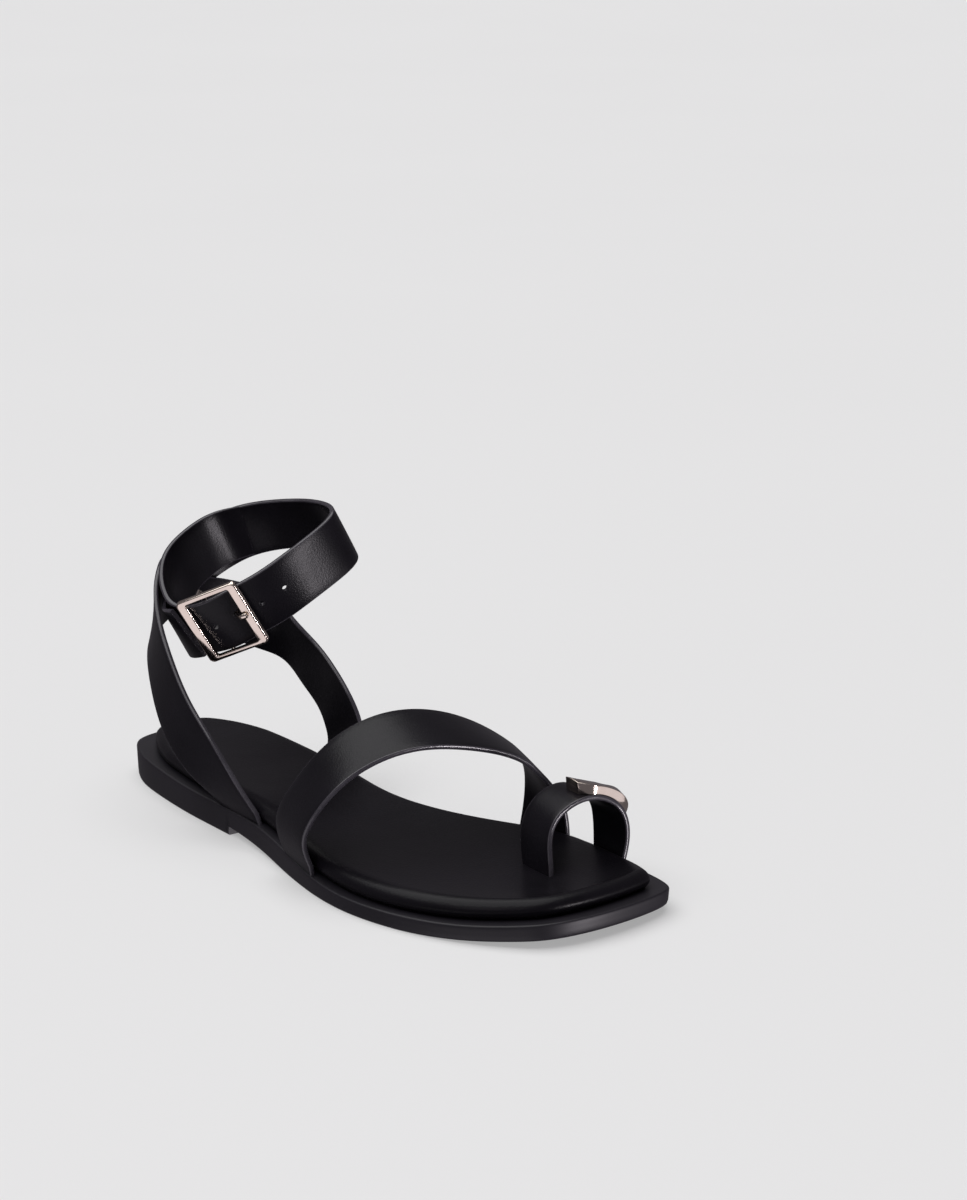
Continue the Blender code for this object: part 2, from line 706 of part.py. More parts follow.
def make_prong(strap):
    """Prong: from the pivot bar under the strap, up through a hole and over the far side bar."""
    place, along, across, outward = buckle_axes()
    low = -(PIVOT_DROP + PIVOT_THICK / 2)
    top = BUCKLE_LIFT + BUCKLE_THICK / 2 + GAP + PRONG_THICK / 2
    bar_x = BUCKLE_LONG / 2 - SIDE_BAR
    hole_x = bar_x - 2.4
    start_x = PIVOT_PLACE + PIVOT_THICK / 2 + GAP
    route = (
        (start_x, low), (hole_x - 4.0, low + 0.5), (hole_x - 1.2, -2.4), (hole_x - 0.2, -1.2),
        (hole_x, 0.0), (hole_x + 0.2, 1.3), (hole_x + 0.9, top - 1.2), (bar_x - 0.3, top - 0.1),
        (bar_x + 1.2, top), (BUCKLE_LONG / 2 + 1.6, top - 0.2),
    )
    sides = 8
    loops = []
    for i, (x, z) in enumerate(route):
        x_next, z_next = route[min(i + 1, len(route) - 1)]
        x_last, z_last = route[max(i - 1, 0)]
        ahead = along * (x_next - x_last) + outward * (z_next - z_last)
        ahead /= np.linalg.norm(ahead)
        up = np.cross(ahead, across)
        centre = place + along * x + outward * z
        loops.append([
            centre + across * (PRONG_THICK / 2 * math.cos(2 * math.pi * k / sides))
            + up * (PRONG_THICK / 2 * math.sin(2 * math.pi * k / sides))
            for k in range(sides)
        ])
    prong = new_object("buckle_prong", tube(loops))

    radius = PRONG_HOLE / 2
    ends = (-4.0, 4.0)
    cutter_loops = [
        [place + along * (hole_x + radius * 1.25 * math.cos(2 * math.pi * k / sides))
         + across * (radius * math.sin(2 * math.pi * k / sides)) + outward * z
         for k in range(sides)]
        for z in ends
    ]
    cutter = guide("hole_guide", tube(cutter_loops))
    cut = strap.modifiers.new("prong_hole", "BOOLEAN")
    cut.operation = "DIFFERENCE"
    cut.solver = "EXACT"
    cut.object = cutter
    return prong


def main():
    for thing in list(bpy.data.objects):
        bpy.data.objects.remove(thing)
    make_outsole()
    make_footbed()
    wrap = make_wrap_strap()
    make_buckle_strap()
    make_instep_strap()
    make_toe_loop()
    make_ornament()
    make_buckle_frame()
    make_prong(wrap)
    bpy.context.view_layer.update()


main()
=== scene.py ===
"""Looks of the toe loop sandal: satin leather straps, padded footbed, rubber sole, polished fittings.

The frame is the CAD part's. Sizes of the sandal are in millimetres, and those of the studio in metres.
"""

import math

import bpy
import bmesh
import numpy as np
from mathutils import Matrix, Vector

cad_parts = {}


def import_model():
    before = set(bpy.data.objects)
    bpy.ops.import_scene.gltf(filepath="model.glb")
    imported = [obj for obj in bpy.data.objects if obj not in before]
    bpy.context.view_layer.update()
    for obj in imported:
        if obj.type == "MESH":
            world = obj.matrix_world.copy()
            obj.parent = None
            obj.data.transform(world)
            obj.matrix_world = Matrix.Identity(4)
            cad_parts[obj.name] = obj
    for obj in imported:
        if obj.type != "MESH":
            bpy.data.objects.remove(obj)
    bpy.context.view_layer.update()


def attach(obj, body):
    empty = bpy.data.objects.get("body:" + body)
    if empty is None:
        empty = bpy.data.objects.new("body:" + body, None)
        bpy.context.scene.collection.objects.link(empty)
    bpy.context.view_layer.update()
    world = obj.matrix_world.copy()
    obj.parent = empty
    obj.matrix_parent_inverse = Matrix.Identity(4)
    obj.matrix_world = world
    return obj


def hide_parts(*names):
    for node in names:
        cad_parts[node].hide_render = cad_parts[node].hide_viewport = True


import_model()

MM = 0.001
MERGE_DISTANCE = 1e-7     # metres

# Sole outline, from the heel to the toe. Columns: x, lateral reach, medial reach.
SOLE_ROWS = (
    (-129.0, 0.0, 0.0),
    (-125.0, 14.6, 15.2),
    (-118.0, 20.0, 21.2),
    (-105.0, 25.2, 26.2),
    (-88.0, 28.6, 28.0),
    (-60.0, 32.0, 26.6),
    (-30.0, 34.0, 22.8),
    (-10.0, 36.4, 19.6),
    (10.0, 40.6, 20.8),
    (30.0, 45.2, 29.4),
    (45.0, 47.5, 38.2),
    (60.0, 47.8, 45.2),
    (75.0, 45.8, 48.0),
    (90.0, 41.6, 47.0),
    (105.0, 34.6, 44.2),
    (118.0, 25.2, 39.4),
    (124.5, 18.0, 33.0),
    (127.7, 9.0, 21.0),
    (129.0, -5.0, 5.0),
)
HALF_LENGTH = SOLE_ROWS[-1][0]

# Sole profile behind and ahead of the heel breast. Columns: x, underside height, ledge height.
HEEL_BREAST = -34.0
HEEL_ROWS = (
    (-129.0, 0.0, 12.1),
    (-90.0, 0.0, 11.0),
    (-60.0, 0.0, 10.3),
    (-34.0, 0.0, 10.1),
)
FRONT_ROWS = (
    (-34.0, 3.0, 10.1),
    (-15.0, 1.8, 9.9),
    (4.0, 0.5, 8.9),
    (16.0, 0.0, 8.0),
    (35.0, 0.0, 6.4),
    (55.0, 0.0, 5.5),
    (80.0, 0.0, 5.4),
    (105.0, 1.0, 6.4),
    (129.0, 3.5, 9.2),
)

# Rings of the sole, from its underside up its side wall and onto its ledge. Columns: inset from the
# outline, share of the way from the underside to the ledge, extra height.
SOLE_RINGS = (
    (1.2, 0.0, 0.0),
    (0.9, 0.0, 0.06),
    (0.62, 0.0, 0.3),
    (0.45, 0.0, 0.8),
    (0.3, 0.25, -0.225),
    (0.2, 0.5, -0.45),
    (0.1, 0.75, -0.675),
    (0.0, 1.0, -0.9),
    (0.06, 1.0, -0.5),
    (0.22, 1.0, -0.2),
    (0.5, 1.0, -0.04),
    (0.9, 1.0, 0.0),
    (3.0, 1.0, 0.0),
    (5.0, 1.0, 0.0),
)
SOLE_STATIONS = 210
SOLE_SHARP = 40.0         # edges sharper than this many degrees stay crisp
BREAST_STEP = 0.0009      # the breast's two stations lie this angle to each side of it
BREAST_CLEAR = 0.008      # other stations keep this angle away from it
STEADY_STEP = 3.0         # a normal from neighbours nearer than this takes the next ones

# Ledge left outside the footbed. Columns: x, lateral width, medial width.
LEDGE_ROWS = (
    (-129.0, 9.0, 9.0),
    (-112.0, 7.6, 7.8),
    (-90.0, 4.8, 5.8),
    (-60.0, 4.2, 5.0),
    (-30.0, 3.6, 4.6),
    (30.0, 3.8, 4.8),
    (55.0, 3.9, 5.4),
    (76.0, 4.1, 7.2),
    (98.0, 5.2, 7.4),
    (129.0, 7.2, 7.2),
)

# Footbed. Rows of its underside: inset from its own outline, height above the ledge. Rows of its side:
# the same, but the heights start from the side's foot.
GAP = 0.3                 # the side's foot lies this far above the ledge
FOOTBED_HEIGHT = 6.4      # crease of the top above the side's foot
FOOTBED_UNDERSIDE = ((4.0, 0.05), (1.6, 0.05))
FOOTBED_SIDE = ((0.6, 0.0), (-0.5, 1.2), (-0.9, 2.8), (-0.3, 4.4), (1.2, 5.8), (3.2, FOOTBED_HEIGHT))
FOOTBED_SIDE_STEPS = 16
FOOTBED_DISH = 1.5        # how far the middle of the top lies below its crease
DISH_SHARES = (0.06, 0.13, 0.22, 0.32, 0.43, 0.55, 0.68, 0.82, 0.93)    # from the crease to the middle
DISH_FULL_WIDTH = 40.0    # the dish fades where the top is narrower than this
FOOTBED_SHARP = 60.0

# Straps
STRAP_THICK = 1.8
ANKLE_WIDTH = 22.0
INSTEP_WIDTH = 23.0
LOOP_WIDTH = 17.0
STRAP_STEP = 1.5          # spacing of a strap's sections
STRAP_SHARP = 50.0
CROWN = 0.10              # a strap's faces bulge this much at the middle
CROWN_SHARES = (0.7, 0.35, 0.0, -0.35, -0.7)                            # of half its width
EDGE_ROUND = 0.5          # radius of its painted edges
EDGE_TURNS = (90.0, 66.0, 40.0, 0.0, -40.0, -66.0, -90.0)               # degrees round an edge
LEAST_SKEW = 0.6          # limits how much a section that lies aslant is stretched
SKIVE_STATIONS = 8        # sections over which the wrap strap's loose end thins out
SKIVE_END = 0.25          # share of the thickness at its tip

# Feet of the straps
PATH_REST = 0.95          # a path's end lies this far above the ledge
LOOP_REST = 0.3           # the toe loop's lateral end lies this far above the footbed
FOOT_ZONE = 20.0          # only end points lower than this belong to a foot
FOOT_SINK = 0.4           # a foot runs this far into the ledge
LOOP_SINK = 1.2           # the toe loop's lateral foot runs this far into the footbed
LOOP_MIDDLE = 25.0        # y between the toe loop's two feet

# Ankle ring: straps lie in layers on a slanted oval cylinder. Columns: angle, radius.
RING_X = -66.5
RING_ACROSS = 37.0
RING_LEAN = math.radians(30.0)
RING_ROWS = (
    (0, 30.3), (26, 37.3), (45, 44.2), (65, 39.3), (100, 31.2), (142, 30.8),
    (172, 29.6), (196, 29.2), (223, 29.0), (249, 30.4), (271, 31.8), (313, 26.4), (349, 28.1),
)
RING_FORWARD = np.array([1.0, 0.0, 0.0])
RING_SIDEWAYS = np.array([0.0, math.cos(RING_LEAN), math.sin(RING_LEAN)])
RING_AXIS = np.array([0.0, -math.sin(RING_LEAN), math.cos(RING_LEAN)])
RING_CENTRE = np.array([RING_X, 0.0, 90.0])              # tells a strap's outer face from its inner one

# Path rows of a strap. Columns: centre x, y, z, then the direction from its lower to its upper edge.
# Rows on the ring have the columns angle, height, depth below the ring's surface.
WRAP_LEG = (
    (-25.8, -32.8, 0.0, 1.00, -0.08, 0.03),
    (-31.3, -34.8, 16.7, 0.95, -0.10, 0.28),
    (-41.8, -38.8, 28.2, 0.74, 0.00, 0.67),
    (-54.0, -40.4, 39.6, 0.68, 0.03, 0.73),
    (-69.0, -38.0, 55.0, 0.76, -0.10, 0.64),
    (-80.9, -32.9, 67.5, 0.70, -0.27, 0.66),
    (-87.3, -26.6, 74.4, 0.46, -0.40, 0.79),
    (-91.4, -19.8, 78.7, 0.18, -0.47, 0.86),
)
WRAP_RING = (
    (196, 77.2, 0.0), (184, 77.4, 0.0), (172, 77.6, 0.0), (157, 77.6, 0.0), (142, 77.7, 0.0),
    (120, 77.6, 0.0), (100, 77.6, 0.0), (82, 77.6, 0.0), (65, 77.7, 0.0), (45, 78.4, 0.0),
    (26, 78.7, 0.0), (8, 78.4, 0.0), (-11, 77.4, 0.0), (-30, 76.6, 0.0), (-47, 75.8, 0.0),
    (-57, 75.4, 0.9), (-66, 74.8, 2.7), (-76, 74.2, 4.5), (-86, 74.5, 5.1), (-98, 75.6, 5.4),
    (-110, 77.0, 5.5), (-122, 78.6, 5.5), (-137, 80.4, 5.5), (-151, 81.6, 5.6), (-164, 82.0, 5.6),
    (-176, 82.0, 5.4), (-188, 81.6, 4.5), (-200, 80.8, 3.0), (-214, 79.6, 2.2), (-228, 78.4, 2.1),
)
BUCKLE_LEG = (
    (-48.0, 24.0, 0.0, 0.99, -0.10, 0.02),
    (-49.4, 29.6, 20.6, 0.94, 0.03, 0.34),
    (-55.0, 30.8, 30.0, 0.77, -0.01, 0.64),
    (-63.9, 31.3, 38.1, 0.61, -0.08, 0.79),
    (-73.8, 30.7, 45.3, 0.59, -0.10, 0.80),
    (-82.7, 27.4, 53.4, 0.60, -0.14, 0.79),
)
BUCKLE_RING = (
    (163, 46.8, 3.2), (176, 54.4, 3.4), (190, 61.0, 3.4), (205, 66.2, 3.3), (222, 69.6, 2.6),
    (240, 70.4, 2.4), (258, 72.2, 2.7), (271, 73.9, 2.5), (280, 74.6, 2.1),
)
INSTEP_PATH = (
    (24.5, -42.6, 0.0, -0.97, 0.20, 0.00),
    (25.5, -46.5, 20.0, -0.97, 0.21, 0.03),
    (30.5, -44.0, 31.5, -0.96, 0.22, 0.08),
    (36.5, -34.5, 44.0, -0.95, 0.20, 0.19),
    (40.5, -23.5, 50.2, -0.95, 0.17, 0.27),
    (43.5, -11.0, 52.3, -0.94, 0.15, 0.32),
    (45.5, 0.5, 51.2, -0.93, 0.15, 0.33),
    (47.0, 11.5, 48.3, -0.94, 0.17, 0.29),
    (48.5, 21.5, 44.2, -0.95, 0.22, 0.20),
    (50.5, 30.5, 38.6, -0.94, 0.30, 0.10),
    (52.3, 36.8, 32.0, -0.93, 0.34, 0.04),
    (53.4, 40.2, 24.0, -0.97, 0.16, 0.00),
    (53.6, 40.7, 0.0, -0.99, -0.14, 0.00),
)
LOOP_PATH = (
    (88.4, 9.0, 0.0, -0.96, 0.14, -0.24),
    (85.4, 10.5, 18.0, -0.95, 0.09, -0.28),
    (84.0, 12.2, 23.8, -0.99, 0.08, -0.13),
    (83.9, 15.7, 29.1, -1.00, 0.09, -0.02),
    (84.3, 20.8, 32.3, -1.00, 0.06, 0.02),
    (84.6, 26.0, 33.5, -1.00, 0.06, 0.04),
    (85.0, 31.6, 32.8, -1.00, 0.05, 0.01),
    (85.2, 36.6, 30.3, -1.00, 0.02, -0.03),
    (85.4, 41.0, 26.6, -1.00, 0.02, -0.03),
    (85.5, 43.2, 21.0, -0.99, -0.03, 0.00),
    (85.4, 42.4, 0.0, -0.98, 0.16, 0.10),
)

# Toe ornament. Columns: share of the toe loop's length, reach to the rear and to the front, then the
# heights of its ridge, its rear lip and its front face.
ORNAMENT_ROWS = (
    (0.445, -1.2, 5.4, 4.9, 4.6, 4.4),
    (0.490, -2.0, 7.8, 3.7, 3.0, 3.4),
    (0.540, -2.6, 8.2, 3.2, 2.4, 3.0),
    (0.600, -3.5, 8.0, 3.4, 2.2, 3.0),
    (0.650, -4.2, 7.6, 4.4, 2.6, 3.2),
    (0.700, -4.8, 6.9, 5.6, 3.0, 3.4),
    (0.740, -5.0, 5.6, 5.6, 2.8, 3.2),
    (0.780, -4.8, 3.4, 4.3, 2.2, 2.6),
    (0.830, -4.0, 0.8, 2.6, 1.4, 1.8),
    (0.870, -3.2, -1.2, 1.4, 1.0, 1.2),
)
ORNAMENT_SECTIONS = 44
ORNAMENT_STEP = 1.0       # spacing of the stations that carry it
ORNAMENT_BEVEL = 0.18
FACET_ANGLE = 24.0        # edges sharper than this are bevelled
BEVEL_SHARP = 45.0

# Buckle: its middle, then its directions along the strap and across it.
BUCKLE_CENTRE = (-48.0, -24.6, 74.4)
BUCKLE_ALONG = (0.74, 0.54, 0.39)
BUCKLE_ACROSS = (-0.09, -0.51, 0.86)
BUCKLE_LIFT = 2.2         # middle of the frame's bars above the strap's middle surface
BUCKLE_LONG = 24.4        # along the strap
BUCKLE_WIDE = 27.0        # across the strap
SIDE_BAR = 3.6
END_BAR = 1.8
BUCKLE_THICK = 1.8
INNER_CORNER = 0.8
OUTER_CORNER = 1.8
CORNER_STEPS = 8
FRAME_SHARP = 50.0

# Outline of the frame's bars. Columns: share of the way from the inner to the outer outline, share of
# the thickness.
FRAME_SECTION = (
    (0.0, -0.5), (1.0, -0.5), (1.0, 0.14), (0.985, 0.28), (0.94, 0.40), (0.87, 0.47), (0.78, 0.5),
    (0.16, 0.5), (0.08, 0.46), (0.02, 0.36), (0.0, 0.22),
)

# Pivot bar under the strap
PIVOT_PLACE = -3.5        # from the middle of the frame towards the loose end
PIVOT_DROP = 2.0          # top of the bar below the strap's middle surface
PIVOT_THICK = 1.4
PIVOT_RADIUS = 0.63       # the bar is round here, and a little thinner than the CAD part's
PIVOT_LEVEL = -(PIVOT_DROP + PIVOT_THICK / 2)
PIVOT_INSET = 0.6         # its ends lie this far inside the frame's width
PIVOT_BEND = ((0.0, 0.8), (0.25, 0.25), (0.8, 0.0))      # inset from the end, height above the bar
PIVOT_SIDES = 14

# Prong. Columns of its route: the place that a point is measured from, distance along and outwards.
PRONG_THICK = 1.5
PRONG_WIDE = 1.45         # its section's width and depth, as shares of the thickness
PRONG_DEEP = 0.92
BAR_PLACE = BUCKLE_LONG / 2 - SIDE_BAR                   # inner side of the bar that it rests on
HOLE_PLACE = BAR_PLACE - 2.4                             # middle of the hole that it comes up through
PRONG_TOP = BUCKLE_LIFT + BUCKLE_THICK / 2 + PRONG_THICK / 2
PRONG_PLACES = {
    "pivot": (PIVOT_PLACE, PIVOT_LEVEL),
    "under": (HOLE_PLACE, PIVOT_LEVEL),
    "hole": (HOLE_PLACE, 0.0),
    "bar": (BAR_PLACE, PRONG_TOP),
}
PRONG_ROUTE = (
    ("pivot", 0.7, 0.0),
    ("under", -4.0, 0.5),
    ("under", -1.2, 0.3),
    ("hole", -0.2, -1.2),
    ("hole", 0.0, 0.0),
    ("hole", 0.2, 1.3),
    ("bar", -1.5, -1.2),
    ("bar", -0.3, -0.1),
    ("bar", 1.0, 0.0),
    ("bar", 2.2, -0.1),
)
PRONG_STEPS = 54
PRONG_SIDES = 18
PRONG_TIP = (0.5, 0.78, 0.9, 0.96, 0.99, 1.0)            # shares of its size, from the tip inwards
PRONG_SHARP = 60.0

# Holes in the wrap strap: the prong's own, and spare ones to each side of it.
HOLE_PITCH = 9.5
SPARE_HOLES = (-2, -1, 1, 2)                             # in pitches from the prong's hole
SPARE_RADIUS = 1.05
PRONG_HOLE_WIDE = 1.5     # half its width and half its length
PRONG_HOLE_LONG = 1.875
HOLE_SIDES = 20
HOLE_STEP = 0.5           # spacing of the stations that the holes are placed on
PUNCH_REACH = 1.7         # a cutter reaches this far to each side of the strap's middle


# Curves and tables

class Spline:
    """Natural cubic curve through rows of numbers, or a closed one when a period is given."""

    LAPS = 2              # rows of a closed curve are repeated this often on each side

    def __init__(self, places, values, period=None):
        places = np.asarray(places, float)
        values = np.asarray(values, float).reshape(len(places), -1)
        if period is not None:
            laps = range(-self.LAPS, self.LAPS + 1)
            places = np.concatenate([places + period * lap for lap in laps])
            values = np.concatenate([values] * len(laps))
        steps = np.diff(places)
        slopes = np.diff(values, axis=0) / steps[:, None]
        left = np.eye(len(places))
        right = np.zeros_like(values)
        for i in range(1, len(places) - 1):
            left[i, i - 1:i + 2] = (steps[i - 1], 2.0 * (steps[i - 1] + steps[i]), steps[i])
            right[i] = 6.0 * (slopes[i] - slopes[i - 1])
        self.places = places
        self.values = values
        self.steps = steps
        self.bends = np.linalg.solve(left, right)

    def __call__(self, place):
        i = int(np.clip(np.searchsorted(self.places, place) - 1, 0, len(self.places) - 2))
        step = self.steps[i]
        before = (self.places[i + 1] - place) / step
        after = (place - self.places[i]) / step
        bend = (before ** 3 - before) * self.bends[i] + (after ** 3 - after) * self.bends[i + 1]
        return before * self.values[i] + after * self.values[i + 1] + bend * step * step / 6.0


def smooth_table(rows):
    """Smooth curve through a table whose first column is the place."""
    return Spline([row[0] for row in rows], [row[1:] for row in rows])


def straight_table(rows, place):
    """Values of a table at a place, on straight lines between its rows."""
    columns = np.array(rows).T
    return [float(np.interp(place, columns[0], column)) for column in columns[1:]]


def turns(count):
    """Evenly spaced angles of a full turn."""
    return [2 * math.pi * k / count for k in range(count)]


# Shape of the sole

def length_angle(x):
    """Angle that runs from 0 at the heel to pi at the toe, so that round ends get closer stations."""
    return math.acos(max(-1.0, min(1.0, -x / HALF_LENGTH)))


OUTLINE = Spline([length_angle(row[0]) for row in SOLE_ROWS], [row[1:] for row in SOLE_ROWS])
HEEL_PROFILE = smooth_table(HEEL_ROWS)
FRONT_PROFILE = smooth_table(FRONT_ROWS)


def ledge_height(x):
    """Height of the sole's top."""
    profile = HEEL_PROFILE if x < HEEL_BREAST else FRONT_PROFILE
    return float(profile(x)[1])


def floor_height(x, behind_breast):
    """Height of the sole's underside, which is flat behind the heel breast."""
    if behind_breast:
        return 0.0
    return max(0.0, float(FRONT_PROFILE(max(x, HEEL_BREAST))[0]))


def outline_stations():
    """Stations from heel to toe: x, lateral y, medial y, and whether it is behind the heel breast."""
    breast = length_angle(HEEL_BREAST)
    angles = [math.pi * k / SOLE_STATIONS for k in range(SOLE_STATIONS + 1)]
    angles = [angle for angle in angles if abs(angle - breast) > BREAST_CLEAR]
    angles += [breast - BREAST_STEP, breast + BREAST_STEP]
    stations = []
    for angle in sorted(angles):
        lateral, medial = OUTLINE(angle)
        x = -HALF_LENGTH * math.cos(angle)
        stations.append((x, -float(lateral), float(medial), angle < breast))
    return stations


def outline_loop():
    """Closed outline by heel tip, lateral side, toe tip and medial side, and its points' breast flags."""
    heel, *middle, toe = outline_stations()
    points = [(heel[0], (heel[1] + heel[2]) / 2)]
    points += [(x, lateral) for x, lateral, _, _ in middle]
    points += [(toe[0], (toe[1] + toe[2]) / 2)]
    points += [(x, medial) for x, _, medial, _ in reversed(middle)]
    flags = [station[3] for station in [heel, *middle, toe, *reversed(middle)]]
    return np.array(points), flags


def loop_normals(points):
    """Outward normals of the outline, from neighbours far enough apart to be steady."""
    along = np.roll(points, -1, axis=0) - np.roll(points, 1, axis=0)
    for i, step in enumerate(along):
        if np.hypot(*step) < STEADY_STEP:
            along[i] = points[(i + 2) % len(points)] - points[i - 2]
    normals = np.stack([along[:, 1], -along[:, 0]], axis=1)
    normals /= np.linalg.norm(normals, axis=1)[:, None]
    outward = np.sign(((points - points.mean(axis=0)) * normals).sum(axis=1).mean())
    return normals * outward


LOOP_POINTS, LOOP_BEHIND = outline_loop()
LOOP_NORMALS = loop_normals(LOOP_POINTS)


def inset_loop(distances):
    """The outline moved inwards, by one distance or by one for each point."""
    return LOOP_POINTS - LOOP_NORMALS * np.reshape(distances, (-1, 1))


def ledge_width(point):
    """Width of the ledge left outside the footbed at an outline point."""
    lateral, medial = straight_table(LEDGE_ROWS, point[0])
    return lateral if point[1] < 0 else medial


def footbed_top(x):
    """Height of the footbed's top near its middle."""
    return ledge_height(x) + GAP + FOOTBED_HEIGHT - FOOTBED_DISH


# Paths of the straps

RING_RADIUS = Spline([row[0] for row in RING_ROWS], [row[1] for row in RING_ROWS], period=360.0)


def ring_oval(angle):
    """Point of the ankle ring's oval, in its own plane."""
    radius = float(RING_RADIUS(angle)[0])
    turn = math.radians(angle)
    return np.array([radius * math.cos(turn), radius * math.sin(turn)])


def ring_point(angle, height, depth):
    """A point below the slanted ring's surface, and the outward normal there."""
    along = ring_oval(angle + 1.0) - ring_oval(angle - 1.0)
    normal = np.array([along[1], -along[0]])
    normal /= np.linalg.norm(normal)
    forward, sideways = ring_oval(angle) - normal * depth
    place = RING_FORWARD * (RING_X + forward) + RING_SIDEWAYS * (RING_ACROSS + sideways)
    outward = RING_FORWARD * normal[0] + RING_SIDEWAYS * normal[1]
    return place + RING_AXIS * height, outward


def ring_rows(rows):
    """Ring rows as path rows: centre, and the direction across the strap, square to the path."""
    points = [ring_point(*row) for row in rows]
    result = []
    for i, (place, outward) in enumerate(points):
        ahead = points[min(i + 1, len(rows) - 1)][0] - points[max(i - 1, 0)][0]
        across = np.cross(ahead, outward)
        across /= np.linalg.norm(across)
        if across[2] < 0:
            across = -across
        result.append((*place, *across))
    return tuple(result)


def on_ledge(rows):
    """Path rows whose ends at height 0 are put just above the sole's ledge."""
    rows = [list(row) for row in rows]
    for row in (rows[0], rows[-1]):
        if row[2] == 0.0:
            row[2] = ledge_height(row[0]) + PATH_REST
    return tuple(tuple(row) for row in rows)


def loop_rows():
    """Path rows of the toe loop, from just above the footbed to just above the ledge."""
    x, y, _, *across = LOOP_PATH[0]
    first = (x, y, footbed_top(x) + LOOP_REST, *across)
    return on_ledge((first,) + LOOP_PATH[1:])


def path_stations(rows, step=STRAP_STEP):
    """Evenly spaced rows along the smooth curve through a path's rows."""
    rows = np.asarray(rows, float)
    chord = running_length(rows[:, :3])
    curve = Spline(chord, rows)
    count = int(round(chord[-1] / step))
    return [curve(chord[-1] * k / count) for k in range(count + 1)]


def running_length(points):
    """Length from the first point to each one, on straight lines."""
    return np.concatenate([[0.0], np.cumsum(np.linalg.norm(np.diff(points, axis=0), axis=1))])


def band_frames(stations):
    """Centre, width vector and outward normal at each station of a strap.

    A width vector is longer than 1 where the section lies aslant, so that the strap keeps its width."""
    spots = np.array([station[:3] for station in stations])
    across = np.array([station[3:6] for station in stations])
    across /= np.linalg.norm(across, axis=1)[:, None]
    ahead = np.gradient(spots, axis=0)
    ahead /= np.linalg.norm(ahead, axis=1)[:, None]
    outward = np.cross(across, ahead)
    skew = np.linalg.norm(outward, axis=1)
    outward /= skew[:, None]
    return spots, across / np.maximum(skew, LEAST_SKEW)[:, None], outward


def sunk_foot(point):
    """A strap's end point, just inside the ledge that carries it."""
    if point[2] > FOOT_ZONE:
        return point
    return np.array([point[0], point[1], ledge_height(point[0]) - FOOT_SINK])


def sunk_loop_foot(point):
    """The toe loop's end point: its medial foot is in the ledge and its lateral one in the footbed."""
    if point[1] > LOOP_MIDDLE:
        return sunk_foot(point)
    return np.array([point[0], point[1], footbed_top(point[0]) - LOOP_SINK])


def buckle_axes():
    """Point under the buckle's middle on the strap, with directions along, across and outwards."""
    along = np.array(BUCKLE_ALONG) / np.linalg.norm(BUCKLE_ALONG)
    outward = np.cross(along, BUCKLE_ACROSS)
    outward /= np.linalg.norm(outward)
    across = np.cross(outward, along)
    return np.array(BUCKLE_CENTRE) - outward * BUCKLE_LIFT, along, across, outward


# Meshes

def write_mesh(name, fill, materials, sharp):
    """A new object whose mesh is made by fill(bmesh), smooth but for edges over sharp degrees."""
    mesh = bpy.data.meshes.new(name)
    build = bmesh.new()
    fill(build)
    bmesh.ops.remove_doubles(build, verts=build.verts, dist=MERGE_DISTANCE)
    bmesh.ops.recalc_face_normals(build, faces=build.faces)
    build.to_mesh(mesh)
    build.free()
    for material in materials:
        mesh.materials.append(material)
    mesh.shade_smooth()
    mesh.set_sharp_from_angle(angle=math.radians(sharp))
    thing = bpy.data.objects.new(name, mesh)
    bpy.context.collection.objects.link(thing)
    return thing


def dress(piece, node):
    """The piece stands for a CAD node and rides on the only body."""
    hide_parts(node)
    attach(piece, "root")
    return piece


def add_loops(build, loops, slots=None):
    """Closed loops of mm points joined by quads; slots gives the material of each quad in a row."""
    rings = [[build.verts.new(Vector(point) * MM) for point in loop] for loop in loops]
    for lower, upper in zip(rings, rings[1:]):
        count = len(lower)
        for i in range(count):
            after = (i + 1) % count
            face = build.faces.new((lower[i], lower[after], upper[after], upper[i]))
            if slots is not None:
                face.material_index = slots[i]
    return rings


def tube_fill(loops, slots=None, end_slot=0):
    """Fill function of a tube through closed loops, with flat ends."""
    def fill(build):
        rings = add_loops(build, loops, slots)
        for ring in (rings[0], rings[-1]):
            build.faces.new(ring).material_index = end_slot

    return fill


def slab_fill(loops):
    """Fill function of a slab through outline loops, closed by strips below and above."""
    def fill(build):
        rings = add_loops(build, loops)
        cap_across(build, rings[0])
        cap_across(build, rings[-1])

    return fill


def cap_across(build, ring):
    """Fill an outline ring with strips that join each lateral point to its medial one."""
    half = len(ring) // 2
    build.faces.new((ring[0], ring[1], ring[-1]))
    for i in range(1, half - 1):
        build.faces.new((ring[i], ring[i + 1], ring[-i - 1], ring[-i]))
    build.faces.new((ring[half - 1], ring[half], ring[half + 1]))


def swept_loops(points, flat, sizes, sides):
    """Oval sections along points in a plane; sizes holds half widths along its normal, and across."""
    loops = []
    for i, (point, (wide, deep)) in enumerate(zip(points, sizes)):
        ahead = points[min(i + 1, len(points) - 1)] - points[max(i - 1, 0)]
        side = np.cross(ahead / np.linalg.norm(ahead), flat)
        loops.append([point + flat * (wide * math.cos(turn)) + side * (deep * math.sin(turn))
                      for turn in turns(sides)])
    return loops


def baked(thing):
    """Replace an object's mesh by the result of its modifiers."""
    bpy.context.view_layer.update()
    graph = bpy.context.evaluated_depsgraph_get()
    result = bpy.data.meshes.new_from_object(thing.evaluated_get(graph))
    thing.modifiers.clear()
    thing.data = result
    return thing


# Materials

